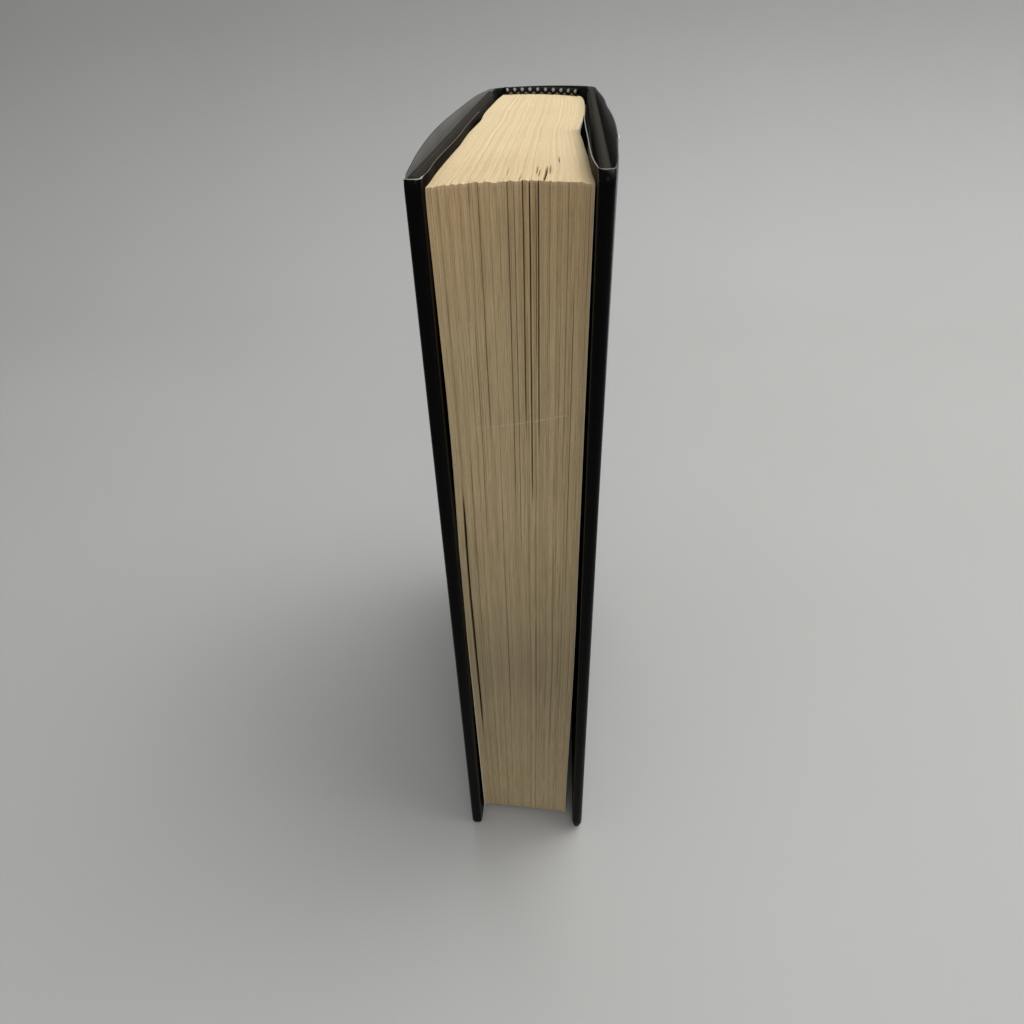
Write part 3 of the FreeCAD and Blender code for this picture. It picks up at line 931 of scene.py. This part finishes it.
def build_board_cover(side, material):
    """Covering of one board: rounded edges, corners and turn-ins."""
    low = (BOARD_SETBACK - CLOTH, LINING, 0.0)
    high = (COVER_DEPTH, COVER_THICKNESS, COVER_HEIGHT)
    shape = rounded_slab(low, high, COVER_ROUNDING)
    inside = [f for f in shape.faces if f.normal.y < -0.99]
    inside = max(inside, key=lambda f: f.calc_area())
    bmesh.ops.inset_region(shape, faces=[inside], thickness=TURN_IN)
    bmesh.ops.delete(shape, geom=[inside], context="FACES")
    name = SIDE[side] + "_cloth"
    piece = link_slab(shape, side, name + "_cover", material)
    add_wall(piece, CLOTH, -1.0)
    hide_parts(name)
    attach(piece, BODY[side])


def build_spine_cloth(side, material):
    """Spine covering from the board through the joint to mid-spine, turned in at both ends."""
    offset = LINING + GAUZE + CLOTH / 2.0
    arc = spine_arc(side, INLAY_INSIDE + INLAY + CLOTH / 2.0, INNER_X + offset, 26)
    us = np.linspace(BOARD_SETBACK + 0.2, 0.3, 12)
    lapped = [on_cover(side, u, offset) for u in us]
    path = np.array(lapped + joint_run(side, offset, arc[0][1]) + arc)
    tangent = np.gradient(path, axis=0)
    tangent /= np.linalg.norm(tangent, axis=1, keepdims=True)
    inward = np.stack([-side * tangent[:, 1], side * tangent[:, 0]], axis=1)
    on_spine = smooth((path[:, 1] - SHOULDER_Y + 0.6) / 3.0)
    lap = CLOTH + (INLAY + SKIN_GAP) * on_spine
    turns = np.linspace(0.0, math.pi, 7)
    straight = [(0.0, z) for z in np.linspace(8.0, COVER_HEIGHT - 8.0, 9)]
    grid = []
    for (x, y), (nx, ny), depth in zip(path, inward, lap):
        bend = [(0.5 + 0.5 * math.cos(t), CLOTH / 2.0 + depth / 2.0 * (1.0 - math.sin(t)))
                for t in turns]
        tail = [(1.0, TURN_IN)] + bend
        head = [(share, COVER_HEIGHT - z) for share, z in reversed(tail)]
        grid.append([(x + nx * depth * share, y + ny * depth * share, z)
                     for share, z in tail + straight + head])
    piece = thick_sheet(SIDE[side] + "_spine_cloth", np.array(grid), CLOTH * 0.9, [material] * 3)
    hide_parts("cloth_spine")
    blend_across_joint(piece)


def band_is_light(place, turn):
    """Two-colour pattern of a band: a round light stitch on the bead, light wedges at its foot."""
    from_middle = abs(place - 0.5)
    dot = (from_middle / DOT_HALF_WIDTH) ** 2 + ((turn - DOT_TURN) / DOT_HALF_TURN) ** 2 < 1.0
    wedge = 0.5 - from_middle < WEDGE_SLOPE * (turn - WEDGE_TURN)
    return dot or wedge


def build_end_band(node, material):
    """Headband or tailband: a bead wrapped in two colours of thread, on its tape."""
    at_head = node == "headband"
    radius = BEAD[node]
    centre_z = BLOCK_HEAD + radius if at_head else BLOCK_TAIL - radius
    way = 1.0 if at_head else -1.0
    half = math.asin(SHOULDER_X / SPINE_RADIUS) - BAND_INSET / SPINE_RADIUS
    bead_radius = SPINE_RADIUS - radius / 2.0
    length = 2.0 * half * bead_radius
    steps = int(length / THREAD) * 4
    turns = np.linspace(-0.5 * math.pi, 1.4 * math.pi, 24)
    tape = [(TAPE_OUT, -drop, 0.0) for drop in np.linspace(*TAPE_DROP, 6)[::-1]]
    points = []
    light = []
    for k in range(steps + 1):
        run = length * k / steps
        angle = -half + 2.0 * half * k / steps
        place = (run - length / 2.0) / PITCH % 1.0
        ridge = 0.05 * abs(math.sin(math.pi * run / THREAD)) - 0.05 * math.cos(2.0 * math.pi * place)
        rise_here = BACK_RISE * (0.5 - 0.5 * math.sin(angle) / math.sin(half)) if at_head else 0.0
        bead = [(radius * math.cos(t) * (0.93 + ridge), radius * math.sin(t) * (0.93 + ridge), t)
                for t in turns]
        for out, rise, turn in tape + bead:
            reach = bead_radius + out
            points.append((reach * math.sin(angle), SPINE_CENTRE_Y + reach * math.cos(angle),
                           centre_z + rise_here + way * rise))
            light.append(1.0 if band_is_light(place, turn) else 0.0)
    index = np.arange(len(points)).reshape(steps + 1, -1)
    piece = make_object(node + "_thread", points, grid_faces(index), [material],
                        attributes={"stripe": light})
    add_wall(piece, BAND_WALL, -way)
    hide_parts(node)
    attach(piece, "text_block")


# Jacket
def jacket_flap(side, level, corner_u):
    """Flap from its end to the fold, in the cover's own u and v."""
    flap_end = COVER_DEPTH - FLAP[side]
    us = np.linspace(flap_end, corner_u, FLAP_POINTS)
    share = (corner_u - us) / (corner_u - flap_end)
    lift = FLAP_LIFT[side] * level * level
    leaning = smooth(1.0 - (1.0 - level) * JACKET_HEIGHT / LEAN_HEIGHT)
    return list(zip(us, FLAP_LINE - lift * share - leaning * through(HEAD_LEAN[side], us)))


def jacket_fold(side, fold_u, start_v):
    """Fold round the board's edge: two quarter turns with a flat between them."""
    radius = FOLD_RADIUS[side]
    corner_u = fold_u - radius
    rise = FLAP_LINE + radius - start_v
    quarter = np.linspace(0.0, 0.5 * math.pi, 9)
    inner = [(corner_u + radius * math.sin(t), start_v + rise * (1.0 - math.cos(t))) for t in quarter]
    flat = [(fold_u, v) for v in np.linspace(FLAP_LINE + radius, PANEL_LINE - radius, 5)]
    outer = [(corner_u + radius * math.cos(t), PANEL_LINE - radius * (1.0 - math.sin(t)))
             for t in quarter]
    return inner[1:] + flat[1:-1] + outer


def jacket_panel(side, level, corner_u):
    """Bowed panel from the fold to the joint; the back one turns out at the chip in its head."""
    us = np.concatenate([np.linspace(corner_u, 6.0, 62)[1:], np.linspace(6.0, 0.3, 12)[1:]])
    grow = TAIL_BOW + (1.0 - TAIL_BOW) * level ** BOW_GROWTH
    vs = PANEL_LINE + grow * through(BULGE[side], us * COVER_DEPTH / corner_u)
    if side == BACK:
        at_rim = max(0.0, 1.0 - (1.0 - level) * JACKET_HEIGHT / CHIP_TURN_HEIGHT)
        vs = vs + CHIP_TURN_OUT * at_rim * np.exp(-((us - CHIP_U) / CHIP_TURN_HALF) ** 2)
    return list(zip(us, vs))


def jacket_half_spine(side):
    """Plan of the jacket over half of the spine: a quarter of a squarish ellipse."""
    turns = np.linspace(0.02, 0.5 * math.pi, 34)
    xs = (INNER_X + PANEL_LINE) * np.cos(turns) ** SPINE_POWER
    xs[-1] = 0.0
    ys = JOINT_Y + SPINE_REACH * np.sin(turns) ** SPINE_POWER
    return list(zip(side * xs, ys))


def jacket_plan(side, level):
    """Plan of one half of the jacket at a height, from the flap's end to the middle of the spine."""
    from_end = min(level, 1.0 - level) * JACKET_HEIGHT
    fold_u = FOLD_U - CRUSH[side] * max(0.0, 1.0 - from_end / CRUSH_HEIGHT) ** 2
    corner_u = fold_u - FOLD_RADIUS[side]
    local = jacket_flap(side, level, corner_u)
    local += jacket_fold(side, fold_u, local[-1][1])
    local += jacket_panel(side, level, corner_u)
    return np.array([on_cover(side, u, v) for u, v in local] + jacket_half_spine(side))


def jacket_rows():
    """Heights of the jacket's rows as shares, closer together near both ends."""
    near_end = np.array([0.12, 0.26, 0.45, 0.7, 1.1, 1.8, 3.0, 4.2]) / JACKET_HEIGHT
    return np.unique(np.concatenate([np.linspace(0.0, 1.0, 44), near_end, 1.0 - near_end]))


def jacket_wear(side, grid, levels):
    """Values for the shader: how rubbed, how bare and how matt each point is."""
    y = grid[:, :, 1]
    order = np.arange(len(grid))[:, None]
    on_flap = smooth((FLAP_POINTS + 2.0 - order) / 4.0) * np.ones(y.shape)
    is_fold = np.exp(-((y - FOLD_WEAR_Y) / FOLD_WEAR_HALF) ** 2)
    chip = np.zeros(y.shape)
    if side == BACK:
        panel_head = (1.0 - on_flap) * (levels > 0.5)
        chip = np.exp(-((y - JOINT_Y + CHIP_U) / CHIP_HALF) ** 2) * panel_head
    rng = np.random.default_rng(20 + side)
    nibble = 0.5 + 0.5 * np.clip(wander(rng, len(grid), 3), -1.0, 1.0)[:, None]
    from_end = np.minimum(levels, 1.0 - levels) * JACKET_HEIGHT
    bare = PANEL_BARE + (FLAP_BARE[side] - PANEL_BARE) * on_flap
    for other in (FOLD_BARE[side] * is_fold, chip, 0.5 * (order == 0)):
        bare = np.maximum(bare, other)
    matt = on_flap * (1.0 - 0.03 * smooth((order - SATIN_FROM[side]) / 16.0))
    reach = RIM_WEAR + RAGGED_WEAR * nibble * bare + FOLD_WEAR * is_fold + CHIP_WEAR * chip
    return {"worn": np.clip(1.0 - from_end / reach, 0.0, 1.0), "bare": bare, "matt": matt}


def build_jacket(side, materials):
    """Half of the jacket: flap, fold, bowed panel, joint and spine, with its rubbed edges."""
    rows = jacket_rows()
    columns = []
    for level in rows:
        plan = jacket_plan(side, level)
        spine = smooth((plan[:, 1] - JOINT_Y + 40.0) / 50.0)
        base = JACKET_BASE[side] + (SPINE_BASE - JACKET_BASE[side]) * spine
        columns.append(np.column_stack([plan, base + level * JACKET_HEIGHT]))
    grid = np.stack(columns, axis=1)
    values = jacket_wear(side, grid, rows[None, :])
    # The back half mirrors the front one, so its rows are reversed to keep the same face outside
    if side == BACK:
        grid = grid[:, ::-1]
        values = {key: value[:, ::-1] for key, value in values.items()}
    name = SIDE[side] + "_jacket"
    piece = thick_sheet(name + "_sheet", grid, JACKET, materials, values)
    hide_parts(name, "jacket_spine")
    blend_across_joint(piece)


# Scene
def dress_hidden_nodes(board, kraft):
    """Materials for the solids that stay as modelled inside the case."""
    for node, material in (("spine_inlay", board), ("spine_kraft_lining", kraft)):
        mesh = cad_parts[node].data
        mesh.materials.clear()
        mesh.materials.append(material)


def build_floor():
    """Plain pale floor that rises into a backdrop behind the book."""
    paint = Shader("pale_floor")
    tint = paint.noise(paint.place(), 6.0, 3.0)
    paint.colour(paint.blend(tint, rgb(0.460, 0.457, 0.443), rgb(0.490, 0.487, 0.473)))
    paint.roughness(0.75)
    wall_y = 700.0
    bend = 260.0
    reach = 2600.0
    half_width = 3200.0
    profile = [(-reach, 0.0), (-600.0, 0.0), (0.0, 0.0), (wall_y - bend, 0.0)]
    for turn in np.linspace(0.0, 0.5 * math.pi, 17)[1:]:
        profile.append((wall_y - bend + bend * math.sin(turn), bend * (1.0 - math.cos(turn))))
    profile.append((wall_y, reach))
    xs = np.linspace(-half_width, half_width, 9)
    points = [(x, y, z) for x in xs for y, z in profile]
    index = np.arange(len(points)).reshape(len(xs), len(profile))
    floor = make_object("floor", points, grid_faces(index), [paint.material])


def add_lamp(name, place, target, size, power):
    lamp = bpy.data.lights.new(name, "AREA")
    lamp.shape = "RECTANGLE"
    lamp.size = size[0]
    lamp.size_y = size[1]
    lamp.energy = power
    holder = bpy.data.objects.new(name, lamp)
    holder.location = place
    direction = (np.array(target) - np.array(place)).tolist()
    holder.rotation_euler = Vector(direction).to_track_quat("-Z", "Y").to_euler()
    bpy.context.scene.collection.objects.link(holder)


def build_lights():
    world = bpy.data.worlds.new("studio")
    world.use_nodes = True
    background = world.node_tree.nodes["Background"]
    background.inputs["Color"].default_value = rgb(0.96, 0.98, 1.0)
    background.inputs["Strength"].default_value = 0.33
    bpy.context.scene.world = world
    add_lamp("overhead", (0.35, 0.45, 1.35), (0.0, 0.02, 0.18), (1.3, 0.9), 13.9)
    add_lamp("front_above", (0.1, -0.75, 0.80), (0.0, -0.06, 0.20), (0.5, 0.4), 1.9)
    add_lamp("right_window", (1.15, 0.1, 1.15), (0.0, 0.0, 0.12), (1.6, 1.2), 8.0)


def build_camera():
    yaw, pitch, roll = [math.radians(a) for a in (CAMERA_YAW, CAMERA_PITCH, CAMERA_ROLL)]
    level_ahead = np.array([math.sin(yaw), math.cos(yaw), 0.0])
    forward = math.cos(pitch) * level_ahead - math.sin(pitch) * np.array([0.0, 0.0, 1.0])
    level_right = np.array([math.cos(yaw), -math.sin(yaw), 0.0])
    level_down = np.cross(forward, level_right)
    right = math.cos(roll) * level_right + math.sin(roll) * level_down
    down = -math.sin(roll) * level_right + math.cos(roll) * level_down
    turn = Matrix([[right[k], -down[k], -forward[k]] for k in range(3)])
    data = bpy.data.cameras.new("camera")
    data.sensor_width = SENSOR
    data.lens = CAMERA_FOCUS / FRAME_WIDTH * SENSOR
    data.clip_start = 0.01
    camera = bpy.data.objects.new("camera", data)
    camera.matrix_world = Matrix.Translation([c * MM for c in CAMERA_PLACE]) @ turn.to_4x4()
    bpy.context.scene.collection.objects.link(camera)
    bpy.context.scene.camera = camera


page_edges = page_edge_material()
flyleaf_paper = endpaper_material("flyleaf_paper", 0.0)
pastedown_paper = endpaper_material("pastedown_paper", 0.95)
jacket_faces = [jacket_inside_material(), jacket_outside_material(), jacket_core_material()]
board_cloth = cloth_material("board_cloth", rgb(0.015, 0.013, 0.0105), rgb(0.056, 0.050, 0.041))
spine_cloth = cloth_material("spine_cloth", rgb(0.006, 0.006, 0.006), rgb(0.020, 0.020, 0.019))
gauze = gauze_material()
thread = thread_material()
grey_board = fibre_material("grey_board", rgb(0.30, 0.28, 0.25), rgb(0.46, 0.44, 0.40), 500.0, 0.08)
# Near-black cut edges of the pastedowns, as painted shade
shaded_edge = fibre_material("shaded_edge", rgb(0.035, 0.030, 0.022), rgb(0.085, 0.070, 0.050),
                             500.0, 0.02)
kraft_paper = fibre_material("kraft_paper", rgb(0.34, 0.23, 0.13), rgb(0.48, 0.35, 0.22), 700.0, 0.03)

build_pages(page_edges)
for cover_side in (FRONT, BACK):
    build_flyleaf(cover_side, flyleaf_paper)
    build_pastedown(cover_side, [pastedown_paper, pastedown_paper, shaded_edge])
    build_gauze(cover_side, gauze)
    build_board(cover_side, grey_board)
    build_board_cover(cover_side, board_cloth)
    build_spine_cloth(cover_side, spine_cloth)
    build_jacket(cover_side, jacket_faces)
for band in ("headband", "tailband"):
    build_end_band(band, thread)
dress_hidden_nodes(grey_board, kraft_paper)
build_floor()
build_lights()
build_camera()
bpy.context.scene.view_settings.view_transform = "Standard"
